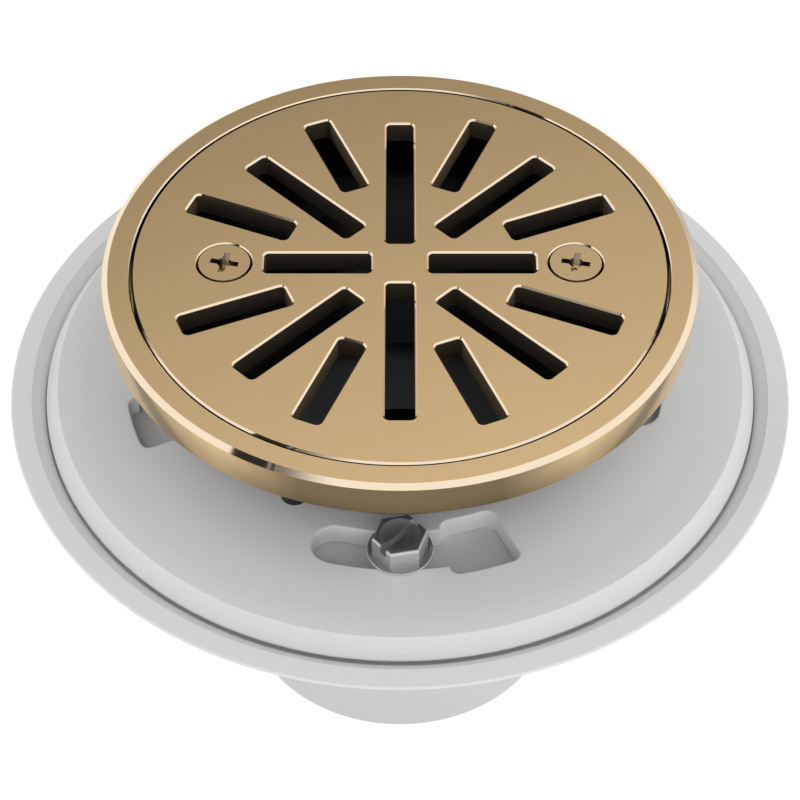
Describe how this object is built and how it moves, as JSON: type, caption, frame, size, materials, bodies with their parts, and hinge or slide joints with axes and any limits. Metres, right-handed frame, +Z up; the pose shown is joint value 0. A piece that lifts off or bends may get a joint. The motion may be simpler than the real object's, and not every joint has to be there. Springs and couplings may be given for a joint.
{
  "type": "shower floor drain",
  "caption": "Round shower floor drain: slotted grate in a metal frame on a height-adjustable threaded throat, over a flanged base with a clamping collar.",
  "frame": {"origin": "centre of the pipe hub's lower end, where the drain stands", "axes": "+Z up along the drain's axis; -Y is the front clamp bolt; the two grate screws lie on the X axis"},
  "size_m": [0.1644, 0.1644, 0.11],
  "materials": {
    "gold": "satin luxe gold plating on metal",
    "gold_screw": "satin gold plated screw",
    "pvc_white": "moulded white PVC",
    "abs_black": "moulded black ABS",
    "ring_rubber": "black nitrile rubber",
    "bolt_steel": "satin stainless steel",
    "screw_steel": "stainless steel",
    "insert_brass": "turned brass"
  },
  "bodies": {
    "base": {"drain_base": "pvc_white", "bolt_insert_front": "insert_brass", "bolt_insert_right": "insert_brass", "bolt_insert_back": "insert_brass", "bolt_insert_left": "insert_brass"},
    "collar": {"clamping_collar": "pvc_white"},
    "throat_seal": {"throat_ring": "ring_rubber"},
    "throat": {"throat": "abs_black", "frame_ring": "gold", "frame_screw_1": "screw_steel", "frame_screw_2": "screw_steel", "frame_screw_3": "screw_steel", "frame_screw_4": "screw_steel", "grate_insert_left": "insert_brass", "grate_insert_right": "insert_brass"},
    "grate": {"grate": "gold"},
    "screw_left": {"grate_screw_left": "gold_screw"},
    "screw_right": {"grate_screw_right": "gold_screw"},
    "bolt_front": {"clamp_bolt_front": "bolt_steel"},
    "bolt_right": {"clamp_bolt_right": "bolt_steel"},
    "bolt_back": {"clamp_bolt_back": "bolt_steel"},
    "bolt_left": {"clamp_bolt_left": "bolt_steel"}
  },
  "joints": [
    {"name": "collar_twist", "type": "hinge", "parent": "base", "child": "collar", "pos_m": [0, 0, 0.078], "axis": [0, 0, 1], "range_deg": [-17.6, 14.5]},
    {"name": "throat_rise", "type": "slide", "parent": "collar", "child": "throat_seal", "axis": [0, 0, 1], "range_m": [-0.0032, 0.0096]},
    {"name": "throat_turn", "type": "hinge", "parent": "throat_seal", "child": "throat", "pos_m": [0, 0, 0.09], "axis": [0, 0, 1], "range_deg": [-360, 1080]},
    {"name": "grate_lift", "type": "slide", "parent": "throat", "child": "grate", "axis": [0, 0, 1], "range_m": [0, 0.03]},
    {"name": "screw_left_turn", "type": "hinge", "parent": "grate", "child": "screw_left", "pos_m": [-0.0356, 0, 0.105], "axis": [0, 0, 1], "continuous": true},
    {"name": "screw_right_turn", "type": "hinge", "parent": "grate", "child": "screw_right", "pos_m": [0.0356, 0, 0.105], "axis": [0, 0, 1], "continuous": true},
    {"name": "bolt_front_turn", "type": "hinge", "parent": "base", "child": "bolt_front", "pos_m": [0, -0.0509, 0.078], "axis": [0, 0, 1], "continuous": true},
    {"name": "bolt_right_turn", "type": "hinge", "parent": "base", "child": "bolt_right", "pos_m": [0.0509, 0, 0.078], "axis": [0, 0, 1], "continuous": true},
    {"name": "bolt_back_turn", "type": "hinge", "parent": "base", "child": "bolt_back", "pos_m": [0, 0.0509, 0.078], "axis": [0, 0, 1], "continuous": true},
    {"name": "bolt_left_turn", "type": "hinge", "parent": "base", "child": "bolt_left", "pos_m": [-0.0509, 0, 0.078], "axis": [0, 0, 1], "continuous": true}
  ],
  "couplings": [
    {"joint": "throat_rise", "follows": "throat_turn", "m_per_rad": 0.00050532}
  ]
}
